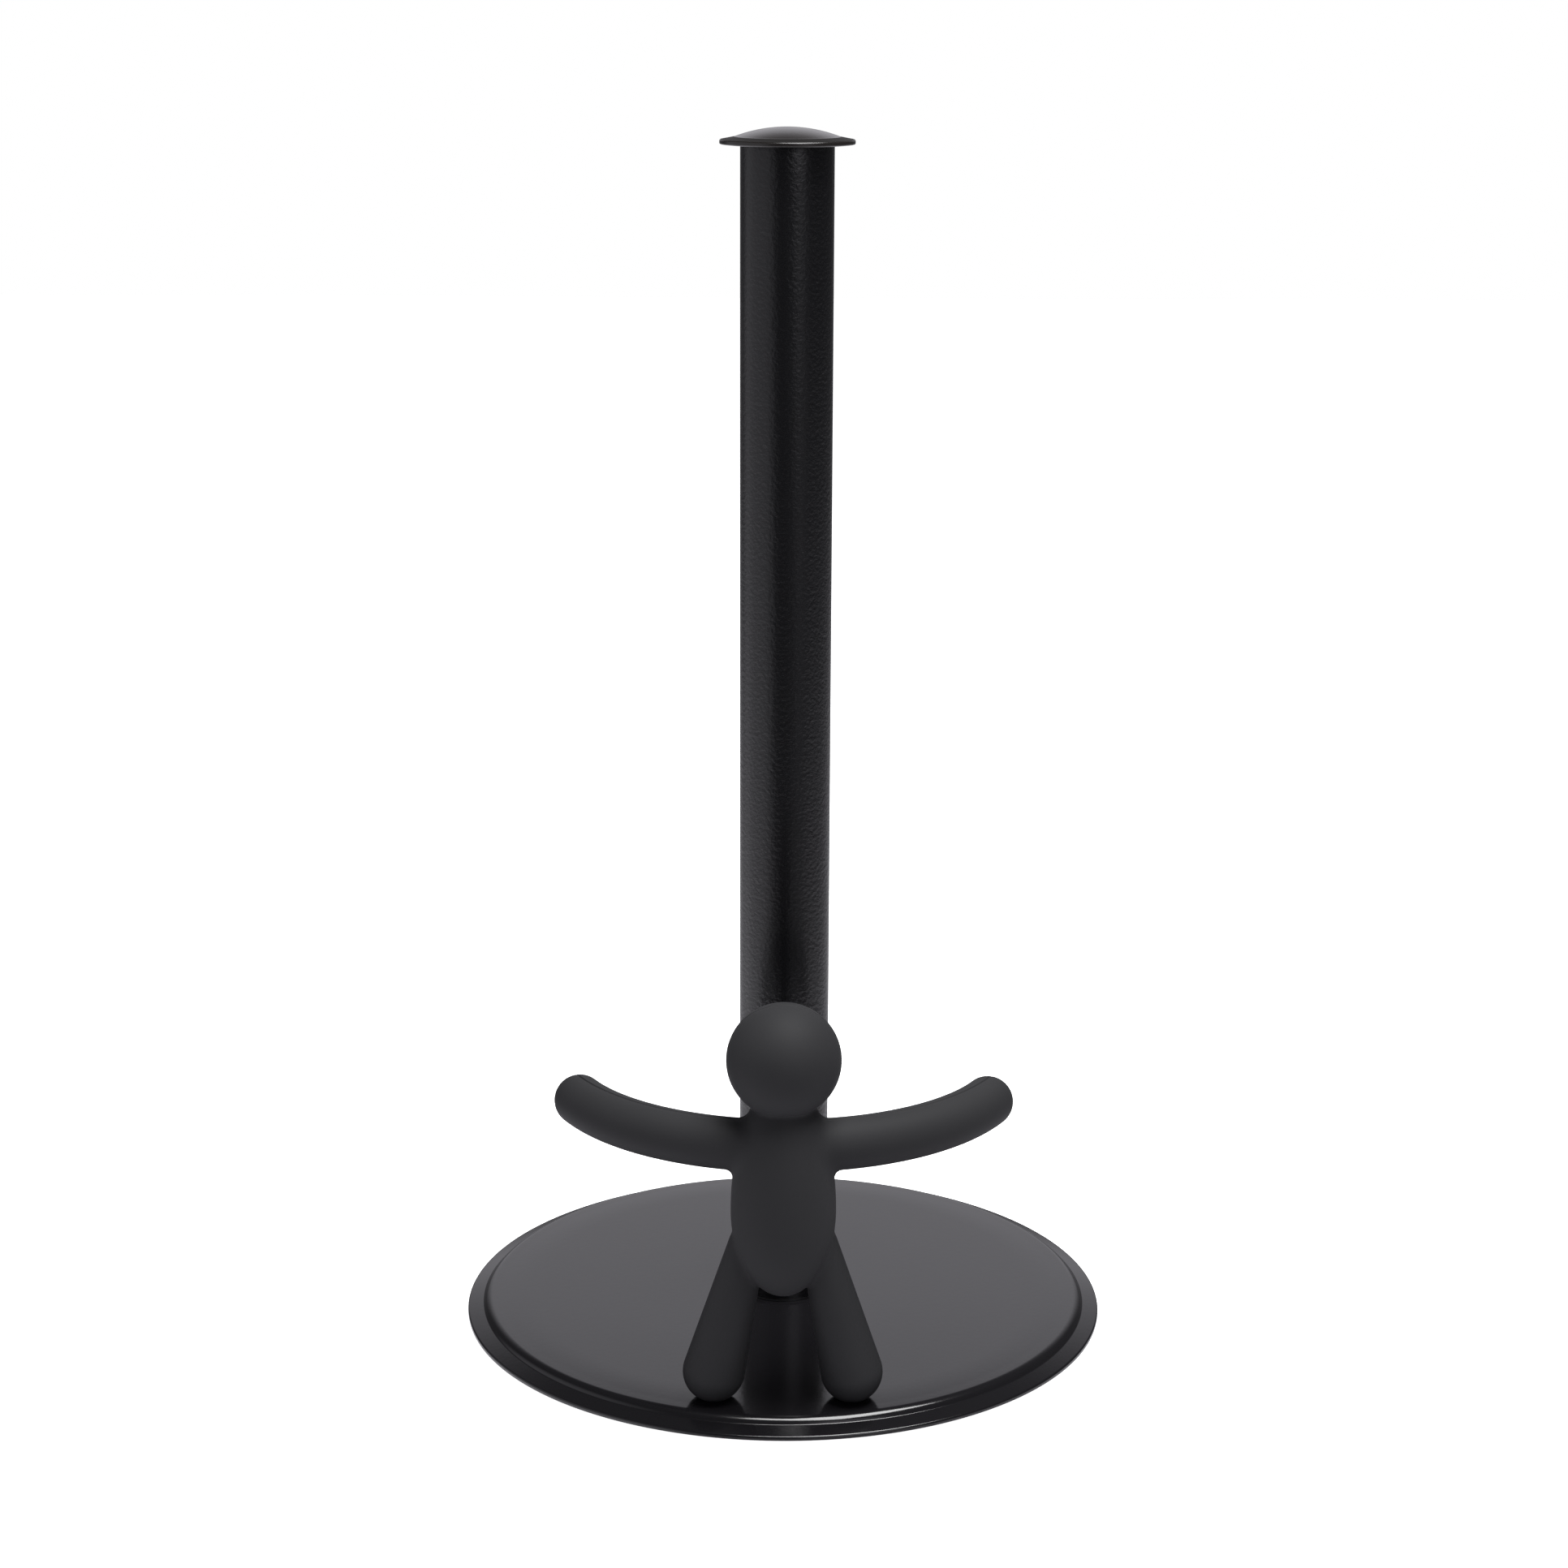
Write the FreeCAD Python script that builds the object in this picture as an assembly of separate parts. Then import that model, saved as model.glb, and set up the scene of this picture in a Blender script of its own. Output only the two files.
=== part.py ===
import FreeCAD, Part
import math
import os
from FreeCAD import Vector

# Counter-top paper towel holder, in millimetres.
# The origin is on the table, on the axis of the pole. +Z is up, and the figure stands towards -Y.

# ---- Base: a pressed steel cover over a steel weight and a rubber pad ----
base_radius = 92.2            # outside of the cover's lip
pad_thickness = 1.0
weight_thickness = 2.7
sheet = 1.0                   # thickness of the cover
flange_width = 4.6            # from the lip to the foot of the step wall
wall_lean = 1.2               # the step wall leans inwards by this much
step_height = 2.05            # deck above the inner edge of the flange
flange_fall = 1.25            # inner edge of the flange above its outer edge
lip_gap = 0.3                 # the lip hangs this far above the table
deck_round = 3.0
step_round = 0.5
lip_round = 0.6
weight_clearance = 0.6        # from the weight and the pad to the rounded edge of the cover
head_gap = 0.1                # between each screw head and the pad
head_clearance = 0.4          # around each screw head
hole_clearance = 0.25         # around each shank in a plain hole

# ---- Pole: a tube with a threaded plug below ----
tube_radius = 12.7
tube_wall = 1.1
tube_length = 328.0
plug_length = 24.0
plug_chamfer = 0.8
counterbore_clearance = 0.8   # around the nut, inside the plug
nut_headroom = 1.0            # between the nut and the end of the counterbore
washer_inset = 0.6            # the slip washer stops this far inside the tube's outside
washer_thickness = 0.8
collar_wall = 0.6
collar_height = 3.0
running_fit = 0.07            # slip washer's collar inside the plug

# ---- Bolt and nut that carry the pole ----
thread_radius = 4.0           # M8
thread_pitch = 1.25
thread_clearance = 0.05
thread_engaged = 10.0         # bolt length inside the plug's thread
nut_across_flats = 13.0
nut_height = 4.0
spring_washer_width = 2.95
spring_washer_height = 1.6
spring_washer_slot = 1.2
bolt_head_radius = 9.0
bolt_head_height = 1.4
bolt_head_round = 0.3
bolt_tip_round = 0.6
bolt_socket = 5.0             # across flats
bolt_socket_depth = 3.2

# ---- Cap: a cast dome with a spigot in a nylon bush ----
brim_overhang = 5.57          # past the outside of the tube
brim_width = 3.97             # from the dome to the rim
cap_rim = 1.25
dome_drop = 2.6
brim_drop = 0.75
brim_round = 0.5
rim_round = 0.4
bush_wall = 1.6
bush_length = 16.0
spigot_wall = 2.0
spigot_length = 15.0
spigot_end_round = 1.0

# ---- Figure: two hollow plastic shells, split by an upright cylinder through the arms ----
# Heights are above the deck.
hug_radius = 63.0             # radius of the split cylinder and of the arms' bend
figure_wall = 2.2
head_radius = 15.2
head_height = 97.3
torso_radius = 14.0
torso_middle = 55.3           # height of the widest place
torso_lower = 24.0            # semi-axis below it
torso_upper = 36.4            # semi-axis above it
arm_radius = 7.0
arm_height = 73.4
arm_reach = 62.7              # degrees each side, to the centre of the rounded end
shoulder_round = 2.2          # where the arms run into the torso
foot_inset = 9.5              # from the edge of the deck to the axis of each foot
foot_radius = 8.4
foot_height = 7.6             # less than the radius, so that the foot stands on a flat
foot_half_gap = 18.6          # half the distance between the two feet
hip_radius = 5.0
hip_height = 45.3
hip_half_gap = 9.6
solid_foot = 11.3             # the feet are solid up to this height
peg_radius = 2.0              # locating pegs in the head and the torso
peg_length = 4.0              # past the split
peg_fit = 0.1
boss_wall = 1.6

# ---- Figure's fastenings ----
insert_radius = 2.8
insert_length = 8.0
insert_recess = 0.2
screw_radius = 2.0            # M4
screw_head_radius = 4.0
screw_head_height = 1.3
screw_head_round = 0.2
screw_tip_round = 0.4
screw_socket = 2.5            # across flats
screw_socket_depth = 2.0
screw_washer_width = 2.25
screw_washer_height = 0.4
screw_depth = 6.5             # screw length inside the insert

# ---- Sizes that follow ----
cover_underside = pad_thickness + weight_thickness
deck_height = cover_underside + sheet
wall_foot_radius = base_radius - flange_width
wall_top_radius = wall_foot_radius - wall_lean
flange_top = deck_height - step_height
flange_edge = flange_top - flange_fall
head_stack = max(bolt_head_height, screw_head_height + screw_washer_height)
head_seat = pad_thickness + head_gap + head_stack
weight_radius = wall_top_radius - deck_round - weight_clearance
tube_bore = tube_radius - tube_wall
tube_bottom = deck_height + washer_thickness
tube_top = tube_bottom + tube_length
nut_corner = nut_across_flats / 2 / math.cos(math.radians(30))
nut_bottom = deck_height + spring_washer_height
counterbore_top = nut_bottom + nut_height + nut_headroom
spring_washer_bore = thread_radius + hole_clearance
spring_washer_radius = spring_washer_bore + spring_washer_width
collar_bore = max(nut_corner, spring_washer_radius) + hole_clearance
counterbore_radius = max(collar_bore + collar_wall + running_fit, nut_corner + counterbore_clearance)
bolt_top = counterbore_top + thread_engaged
washer_radius = tube_radius - washer_inset
cap_radius = tube_radius + brim_overhang
dome_radius = cap_radius - brim_width
screw_washer_bore = screw_radius + hole_clearance
foot_y = -math.sqrt((wall_top_radius - foot_inset) ** 2 - foot_half_gap ** 2)
hug_centre_y = foot_y + math.sqrt(hug_radius ** 2 - foot_half_gap ** 2)
hip_y = hug_centre_y - math.sqrt(hug_radius ** 2 - hip_half_gap ** 2)
middle_y = hug_centre_y - hug_radius
arm_tip_x = hug_radius * math.sin(math.radians(arm_reach))
arm_tip_y = hug_centre_y - hug_radius * math.cos(math.radians(arm_reach))
figure_top = deck_height + head_height + head_radius
up = Vector(0, 0, 1)


def rounded_path(points):
    """Runs through (radius, height, rounding) points, with a tangent arc at each rounded one."""
    corners = [Vector(radius, 0, height) for radius, height, rounding in points]
    edges = []
    start = corners[0]
    for before, corner, after, point in zip(corners, corners[1:], corners[2:], points[1:]):
        run_in = (corner - before).normalize()
        run_out = (after - corner).normalize()
        rounding = point[2]
        half_turn = run_in.getAngle(run_out) / 2
        tangent = rounding * math.tan(half_turn)
        arc_start = corner - run_in * tangent
        arc_end = corner + run_out * tangent
        if start.distanceToPoint(arc_start) > 1e-6:
            edges.append(Part.makeLine(start, arc_start))
        if rounding > 0:
            inward = (run_out - run_in).normalize()
            middle = corner + inward * rounding * (1 / math.cos(half_turn) - 1)
            edges.append(Part.Arc(arc_start, middle, arc_end).toShape())
        start = arc_end
    if start.distanceToPoint(corners[-1]) > 1e-6:
        edges.append(Part.makeLine(start, corners[-1]))
    return edges


def inset_path(points, distance):
    """The same open path moved to its right-hand side, with its roundings kept concentric."""
    corners = [Vector(radius, 0, height) for radius, height, rounding in points]
    runs = [(end - start).normalize() for start, end in zip(corners, corners[1:])]
    sides = [Vector(run.z, 0, -run.x) for run in runs]
    moved = [corners[0] + sides[0] * distance]
    roundings = [0.0]
    for corner, run_in, run_out, side, point in zip(corners[1:], runs, runs[1:], sides, points[1:]):
        turn = run_in.x * run_out.z - run_in.z * run_out.x
        slide = math.tan(run_in.getAngle(run_out) / 2) * distance
        moved.append(corner + side * distance + run_in * (slide if turn > 0 else -slide))
        roundings.append(point[2] + distance if turn > 0 else max(point[2] - distance, 0.0))
    moved.append(corners[-1] + sides[-1] * distance)
    roundings.append(0.0)
    return [(corner.x, corner.z, rounding) for corner, rounding in zip(moved, roundings)]


def turned(points):
    """A solid of revolution about the pole's axis from a closed outline that starts unrounded."""
    face = Part.Face(Part.Wire(rounded_path(points + [points[0]])))
    return face.revolve(Vector(0, 0, 0), up, 360)


def ring(inner, outer, bottom, top):
    """A plain tube, or a disc where the inner radius is zero."""
    solid = Part.makeCylinder(outer, top - bottom, Vector(0, 0, bottom))
    if inner > 0:
        solid = solid.cut(Part.makeCylinder(inner, top - bottom, Vector(0, 0, bottom)))
    return solid


def hexagon(across_flats, bottom, top):
    """An upright hexagonal bar."""
    corner = across_flats / 2 / math.cos(math.radians(30))
    angles = [math.radians(60 * side) for side in range(7)]
    corners = [Vector(corner * math.cos(angle), corner * math.sin(angle), bottom) for angle in angles]
    return Part.Face(Part.makePolygon(corners)).extrude(up * (top - bottom))


def at_feet(solid):
    """The two copies of a solid, one on the axis of each foot."""
    copies = []
    for side in (-1, 1):
        copy = solid.copy()
        copy.translate(Vector(side * foot_half_gap, foot_y, 0))
        copies.append(copy)
    return copies


def base_cover():
    """Flat deck, rounded shoulder, sloping flange and a short upright lip, all of one sheet."""
    top = [
        (0, deck_height, 0),
        (wall_top_radius, deck_height, deck_round),
        (wall_foot_radius, flange_top, step_round),
        (base_radius, flange_edge, lip_round),
        (base_radius, lip_gap, 0),
    ]
    underside = inset_path(top, sheet)
    outer = rounded_path(top)
    inner = rounded_path(underside)
    rim = Part.makeLine(Vector(base_radius, 0, lip_gap), Vector(base_radius - sheet, 0, lip_gap))
    axis = Part.makeLine(Vector(0, 0, deck_height), Vector(0, 0, cover_underside))
    face = Part.Face(Part.Wire(Part.__sortEdges__(outer + inner + [rim, axis])))
    cover = face.revolve(Vector(0, 0, 0), up, 360)
    cover = cover.cut(ring(0, thread_radius + hole_clearance, cover_underside, deck_height))
    return cover.cut(at_feet(ring(0, screw_radius + hole_clearance, cover_underside, deck_height)))


def base_weight():
    """Steel disc under the deck, bored for the bolt and the screws, with a seat for each head."""
    weight = ring(0, weight_radius, pad_thickness, cover_underside)
    weight = weight.cut(ring(0, thread_radius + hole_clearance, pad_thickness, cover_underside))
    weight = weight.cut(ring(0, bolt_head_radius + head_clearance, pad_thickness, head_seat))
    shank_hole = ring(0, screw_radius + hole_clearance, pad_thickness, cover_underside)
    head_hole_radius = screw_washer_bore + screw_washer_width + head_clearance
    head_hole = ring(0, head_hole_radius, pad_thickness, head_seat)
    return weight.cut(at_feet(shank_hole) + at_feet(head_hole))


def base_pad():
    """Rubber disc glued under the weight, which the whole holder rests on."""
    return ring(0, weight_radius, 0, pad_thickness)


def pole_bolt():
    """Low-headed bolt that clamps weight and cover together and carries the pole."""
    head_bottom = head_seat - bolt_head_height
    bolt = turned([
        (0, head_bottom, 0),
        (bolt_head_radius, head_bottom, bolt_head_round),
        (bolt_head_radius, head_seat, 0),
        (thread_radius, head_seat, 0),
        (thread_radius, bolt_top, bolt_tip_round),
        (0, bolt_top, 0),
    ])
    return bolt.cut(hexagon(bolt_socket, head_bottom, head_bottom + bolt_socket_depth))


def bolt_spring_washer():
    """Split washer between the deck and the nut."""
    washer = ring(spring_washer_bore, spring_washer_radius, deck_height, nut_bottom)
    slot = Part.makeBox(2 * spring_washer_radius, spring_washer_slot, spring_washer_height)
    slot.translate(Vector(0, -spring_washer_slot / 2, deck_height))
    return washer.cut(slot)


def bolt_nut():
    """Thin hexagonal nut with turned-off corners."""
    top = nut_bottom + nut_height
    blank = hexagon(nut_across_flats, nut_bottom, top)
    chamfer = nut_corner - nut_across_flats / 2
    envelope = turned([
        (0, nut_bottom, 0),
        (nut_across_flats / 2, nut_bottom, 0),
        (nut_corner, nut_bottom + chamfer * 0.5, 0),
        (nut_corner, top - chamfer * 0.5, 0),
        (nut_across_flats / 2, top, 0),
        (0, top, 0),
    ])
    return blank.common(envelope).cut(ring(0, thread_radius + thread_clearance, nut_bottom, top))


def slip_washer():
    """Nylon washer under the pole, with a collar that keeps it in the plug's counterbore."""
    collar_outer = counterbore_radius - running_fit
    return turned([
        (collar_outer - collar_wall, deck_height, 0),
        (washer_radius, deck_height, 0),
        (washer_radius, tube_bottom, 0),
        (collar_outer, tube_bottom, 0),
        (collar_outer, tube_bottom + collar_height, 0),
        (collar_outer - collar_wall, tube_bottom + collar_height, 0),
    ])


def pole_tube():
    """Plain steel tube."""
    return ring(tube_bore, tube_radius, tube_bottom, tube_top)


def pole_plug():
    """Steel plug pressed into the foot of the tube: counterbore over the nut, then the thread."""
    top = tube_bottom + plug_length
    thread_bore = thread_radius + thread_clearance
    return turned([
        (counterbore_radius, tube_bottom, 0),
        (tube_bore, tube_bottom, 0),
        (tube_bore, top - plug_chamfer, 0),
        (tube_bore - plug_chamfer, top, 0),
        (thread_bore, top, 0),
        (thread_bore, counterbore_top, 0),
        (counterbore_radius, counterbore_top, 0),
    ])


def cap_bush():
    """Nylon bush that grips the cap's spigot inside the tube."""
    return ring(tube_bore - bush_wall, tube_bore, tube_top - bush_length, tube_top)


def pole_cap():
    """Cast cap: a shallow dome that runs out into a flat brim, with a hollow spigot below."""
    apex = tube_top + cap_rim + brim_drop + dome_drop
    dome_curve = (dome_radius ** 2 + dome_drop ** 2) / (2 * dome_drop)
    dome_corner = dome_curve * math.tan(math.asin(dome_radius / dome_curve) / 2)
    spigot = tube_bore - bush_wall
    spigot_end = apex - cap_rim - brim_drop
    return turned([
        (0, spigot_end, 0),
        (spigot - spigot_wall, spigot_end, spigot_end_round),
        (spigot - spigot_wall, tube_top - spigot_length, 0),
        (spigot, tube_top - spigot_length, 0),
        (spigot, tube_top, 0),
        (cap_radius, tube_top, rim_round),
        (cap_radius, tube_top + cap_rim, brim_round),
        (dome_radius, apex - dome_drop, 0),
        (dome_corner, apex, dome_curve),
        (0, apex, 0),
    ])


def torso_half(radius, height, direction):
    """Half of an egg: a quarter of an ellipse turned about the torso's axis."""
    middle = deck_height + torso_middle
    points = [
        Vector(radius * math.sin(angle), 0, middle + direction * height * math.cos(angle))
        for angle in (0, math.pi / 4, math.pi / 2)
    ]
    centre = Vector(0, 0, middle)
    if height > radius:
        ellipse = Part.Ellipse(points[0], points[2], centre)
        arc = Part.ArcOfEllipse(ellipse, 0, math.pi / 2)
    else:
        ellipse = Part.Ellipse(points[2], points[0], centre)
        arc = Part.ArcOfEllipse(ellipse, 0, math.pi / 2)
    edges = [arc.toShape(), Part.makeLine(points[2], centre), Part.makeLine(centre, points[0])]
    solid = Part.Face(Part.Wire(Part.__sortEdges__(edges))).revolve(Vector(0, 0, 0), up, 360)
    solid.translate(Vector(0, middle_y, 0))
    return solid


def tapered_limb(start, start_radius, end, end_radius):
    """Two balls joined by the cone that touches both."""
    length = start.distanceToPoint(end)
    direction = (end - start).normalize()
    sine = (start_radius - end_radius) / length
    cosine = math.sqrt(1 - sine ** 2)
    cone = Part.makeCone(
        start_radius * cosine,
        end_radius * cosine,
        length - (start_radius - end_radius) * sine,
        start + direction * start_radius * sine,
        direction,
    )
    balls = [Part.makeSphere(start_radius, start), Part.makeSphere(end_radius, end)]
    return cone.fuse(balls)


def figure_form(inset):
    """The whole figure as one solid, drawn in by an inset: ball head, torso, bent arms and legs."""
    head = Part.makeSphere(head_radius - inset, Vector(0, middle_y, deck_height + head_height))
    torso = [
        torso_half(torso_radius - inset, torso_lower - inset, -1),
        torso_half(torso_radius - inset, torso_upper - inset, 1),
    ]
    arms = Part.makeTorus(hug_radius, arm_radius - inset, Vector(0, 0, 0), up, 0, 360, 2 * arm_reach)
    arms.rotate(Vector(0, 0, 0), up, -90 - arm_reach)
    arms.translate(Vector(0, hug_centre_y, deck_height + arm_height))
    pieces = torso + [arms]
    for side in (-1, 1):
        hand = Vector(side * arm_tip_x, arm_tip_y, deck_height + arm_height)
        pieces.append(Part.makeSphere(arm_radius - inset, hand))
        foot = Vector(side * foot_half_gap, foot_y, deck_height + foot_height)
        hip = Vector(side * hip_half_gap, hip_y, deck_height + hip_height)
        pieces.append(tapered_limb(foot, foot_radius - inset, hip, hip_radius - inset))
    return head.fuse(pieces).removeSplitter()


def shoulder_edges(form):
    """The edges where the arms run into the torso."""
    arm_faces = [face for face in form.Faces if isinstance(face.Surface, Part.Toroid)]
    torso_faces = [face for face in form.Faces if isinstance(face.Surface, Part.SurfaceOfRevolution)]
    torso_edges = [edge for face in torso_faces for edge in face.Edges]
    arm_edges = [edge for face in arm_faces for edge in face.Edges]
    return [edge for edge in arm_edges if any(edge.isSame(other) for other in torso_edges)]


def space_above(height):
    """A block that holds all of the figure above a height."""
    side = 2 * (base_radius + head_radius)
    return Part.makeBox(side, side, figure_top, Vector(-side / 2, -side, height))


def peg(radius, height, start_y, end_y):
    """A bar along Y in the figure's middle plane."""
    return Part.makeCylinder(radius, end_y - start_y, Vector(0, start_y, height), Vector(0, 1, 0))


def figure_shells():
    """Front and rear shells, with solid feet, and pegs and bosses that locate one on the other."""
    sharp = figure_form(0)
    outside = sharp.makeFillet(shoulder_round, shoulder_edges(sharp))
    inside = figure_form(figure_wall)
    body = outside.cut(inside.common(space_above(deck_height + solid_foot)))
    body = body.common(space_above(deck_height))
    insert_top = deck_height + insert_recess + insert_length
    body = body.cut(at_feet(ring(0, insert_radius, 0, insert_top)))
    split = Part.makeCylinder(hug_radius, figure_top, Vector(0, hug_centre_y, 0))
    front = body.cut(split)
    rear = body.common(split)
    for above_deck, depth in ((torso_middle, torso_radius), (head_height, head_radius)):
        height = deck_height + above_deck
        boss_radius = peg_radius + peg_fit + boss_wall
        boss = peg(boss_radius, height, middle_y - peg_radius, middle_y + depth)
        boss = boss.common(split).common(sharp)
        socket = peg(peg_radius + peg_fit, height, middle_y - peg_radius, middle_y + peg_length + peg_fit)
        rear = rear.fuse(boss).cut(socket)
        locating_peg = peg(peg_radius, height, middle_y - depth, middle_y + peg_length)
        front = front.fuse(locating_peg.common(sharp))
    return front, rear


def figure_insert():
    """Brass threaded insert held in a foot."""
    bottom = deck_height + insert_recess
    return ring(screw_radius + thread_clearance, insert_radius, bottom, bottom + insert_length)


def figure_washer():
    """Plain washer under a screw head."""
    outside = screw_washer_bore + screw_washer_width
    return ring(screw_washer_bore, outside, head_seat - screw_washer_height, head_seat)


def figure_screw():
    """Low-headed socket screw up through weight and deck into a foot."""
    head_top = head_seat - screw_washer_height
    head_bottom = head_top - screw_head_height
    tip = deck_height + insert_recess + screw_depth
    screw = turned([
        (0, head_bottom, 0),
        (screw_head_radius, head_bottom, screw_head_round),
        (screw_head_radius, head_top, 0),
        (screw_radius, head_top, 0),
        (screw_radius, tip, screw_tip_round),
        (0, tip, 0),
    ])
    return screw.cut(hexagon(screw_socket, head_bottom, head_bottom + screw_socket_depth))


def main():
    """Write one STEP file per node."""
    os.makedirs("parts", exist_ok=True)
    figure_front, figure_rear = figure_shells()
    nodes = {
        "base_cover": base_cover(),
        "base_weight": base_weight(),
        "base_pad": base_pad(),
        "pole_bolt": pole_bolt(),
        "bolt_spring_washer": bolt_spring_washer(),
        "bolt_nut": bolt_nut(),
        "figure_front_shell": figure_front,
        "figure_rear_shell": figure_rear,
        "figure_inserts": Part.makeCompound(at_feet(figure_insert())),
        "figure_washers": Part.makeCompound(at_feet(figure_washer())),
        "figure_screws": Part.makeCompound(at_feet(figure_screw())),
        "slip_washer": slip_washer(),
        "pole_tube": pole_tube(),
        "pole_plug": pole_plug(),
        "cap_bush": cap_bush(),
        "pole_cap": pole_cap(),
    }
    for name, shape in nodes.items():
        shape.exportStep("parts/" + name + ".step")
        print(name, "solids", len(shape.Solids), "valid", shape.isValid(), "volume", round(shape.Volume, 1))
    print("unscrewing: turns", thread_engaged / thread_pitch, "lift", thread_engaged, "mm")


main()
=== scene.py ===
import math

import bmesh
import bpy
import numpy as np
from mathutils import Matrix, Vector


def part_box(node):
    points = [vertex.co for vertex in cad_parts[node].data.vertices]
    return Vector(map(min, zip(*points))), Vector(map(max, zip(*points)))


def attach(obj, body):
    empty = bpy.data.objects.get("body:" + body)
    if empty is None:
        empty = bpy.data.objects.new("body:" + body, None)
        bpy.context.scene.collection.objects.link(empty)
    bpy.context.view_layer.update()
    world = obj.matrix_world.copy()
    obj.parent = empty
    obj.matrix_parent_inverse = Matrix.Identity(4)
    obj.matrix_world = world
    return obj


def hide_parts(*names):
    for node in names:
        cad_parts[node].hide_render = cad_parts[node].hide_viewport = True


# The looks of a counter-top paper towel holder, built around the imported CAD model.
# Lengths are in millimetres until a mesh is made, which turns them into metres.
# The camera, the floor and the lamp are in metres.

MM = 0.001

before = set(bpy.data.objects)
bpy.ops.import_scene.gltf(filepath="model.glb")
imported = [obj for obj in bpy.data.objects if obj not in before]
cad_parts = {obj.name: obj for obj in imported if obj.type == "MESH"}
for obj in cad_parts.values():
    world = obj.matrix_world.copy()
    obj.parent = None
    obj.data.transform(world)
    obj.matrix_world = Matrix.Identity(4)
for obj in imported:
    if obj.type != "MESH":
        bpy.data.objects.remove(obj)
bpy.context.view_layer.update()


def span(node):
    """Lowest and highest corner of a CAD node, in millimetres."""
    low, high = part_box(node)
    return low / MM, high / MM


# ---- Sizes read from the frame ----
cover_low, cover_high = span("base_cover")
weight_high = span("base_weight")[1]
pad_high = span("base_pad")[1]
tube_low, tube_high = span("pole_tube")
cap_low, cap_high = span("pole_cap")
bolt_low, bolt_high = span("pole_bolt")
front_low = span("figure_front_shell")[0]
screws_low, screws_high = span("figure_screws")
base_radius = cover_high.x
deck = cover_high.z
sheet = deck - weight_high.z
tube_radius = tube_high.x
cap_radius = cap_high.x

# ---- Sizes that the frame's boxes don't give: those of the CAD, and finer ones for the looks ----
FLANGE_WIDTH = 4.6
WALL_LEAN = 1.2
STEP_HEIGHT = 2.05
FLANGE_FALL = 1.25
DECK_ROUND = 3.0
EASE_WIDTH = 12.0
EASE_DROP = 0.32
STEP_ROUND = 0.5
LIP_ROUND = 0.6
BRIM_WIDTH = 3.97
CAP_RIM = 1.25
BRIM_DROP = 0.75
BRIM_ROUND = 0.5
RIM_ROUND = 0.4
SPIGOT_RADIUS = 10.0
SPIGOT_WALL = 2.0
TUBE_WALL = 1.1
EDGE_ROUND = 0.25
BOLT_HEAD = 1.4
SCREW_HEAD_RADIUS = 4.0
RIB_PITCH = 2.4
RIB_DEPTH = 0.3
FIRST_RIB = 6.0
PAD_BORDER = 4.0
COVER_SEGMENTS = 256
ROUND_SEGMENTS = 160
BOLT_SEGMENTS = 64
THREAD_SEGMENTS = 48
THREAD_ROWS_PER_TURN = 12
THREAD_RADIUS = 4.0
THREAD_PITCH = 1.25
THREAD_DEPTH = 0.72
HEAD_RADIUS = 15.2
HEAD_ABOVE_DECK = 97.3
TORSO_RADIUS = 14.0
TORSO_MIDDLE = 55.3
TORSO_LOWER = 24.0
TORSO_UPPER = 36.4
ARM_RADIUS = 7.0
ARM_ABOVE_DECK = 73.4
ARM_REACH = math.radians(62.7)
HUG_RADIUS = 63.0
FOOT_RADIUS = 8.4
FOOT_ABOVE_DECK = 7.6
HIP_RADIUS = 5.0
HIP_ABOVE_DECK = 45.3
HIP_HALF_GAP = 9.6
SHOULDER_ROUND = 2.2
HIP_ROUND = 0.9
NECK_ROUND = 0.5
SOLE_ROUND = 0.5
SPLIT_GAP = 0.07
GROOVE_DEPTH = 0.25
GROOVE_LIP = 0.35
SKIN_STEP = 0.8
SMOOTHING_ROUNDS = 14
foot_half_gap = (screws_high.x - screws_low.x) / 2 - SCREW_HEAD_RADIUS
middle_y = front_low.y + HEAD_RADIUS
hug_y = middle_y + HUG_RADIUS


# ---- Meshes ----
def new_piece(name, points, faces, sharp_degrees=40):
    """A smooth-shaded mesh object from points in millimetres."""
    mesh = bpy.data.meshes.new(name)
    mesh.from_pydata([tuple(float(value) * MM for value in point) for point in points], [], faces)
    mesh.validate()
    mesh.shade_smooth()
    mesh.set_sharp_from_angle(angle=math.radians(sharp_degrees))
    piece = bpy.data.objects.new(name, mesh)
    bpy.context.scene.collection.objects.link(piece)
    return piece


def rounded(points, steps=8):
    """A (radius, height) outline from (radius, height, rounding) points, its roundings as short runs."""
    corners = [Vector(point[:2]) for point in points]
    outline = [corners[0]]
    for before, corner, after, point in zip(corners, corners[1:], corners[2:], points[1:]):
        run_in = (corner - before).normalized()
        run_out = (after - corner).normalized()
        rounding = point[2]
        if rounding == 0:
            outline.append(corner)
            continue
        half_turn = run_in.angle(run_out) / 2
        centre = corner + (run_out - run_in).normalized() * rounding / math.cos(half_turn)
        tangent = rounding * math.tan(half_turn)
        first = corner - run_in * tangent - centre
        turn = 2 * half_turn * (1 if run_in.cross(run_out) > 0 else -1)
        for step in range(steps + 1):
            outline.append(centre + Matrix.Rotation(turn * step / steps, 2) @ first)
    outline.append(corners[-1])
    return [(point.x, point.y) for point in outline]


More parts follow.
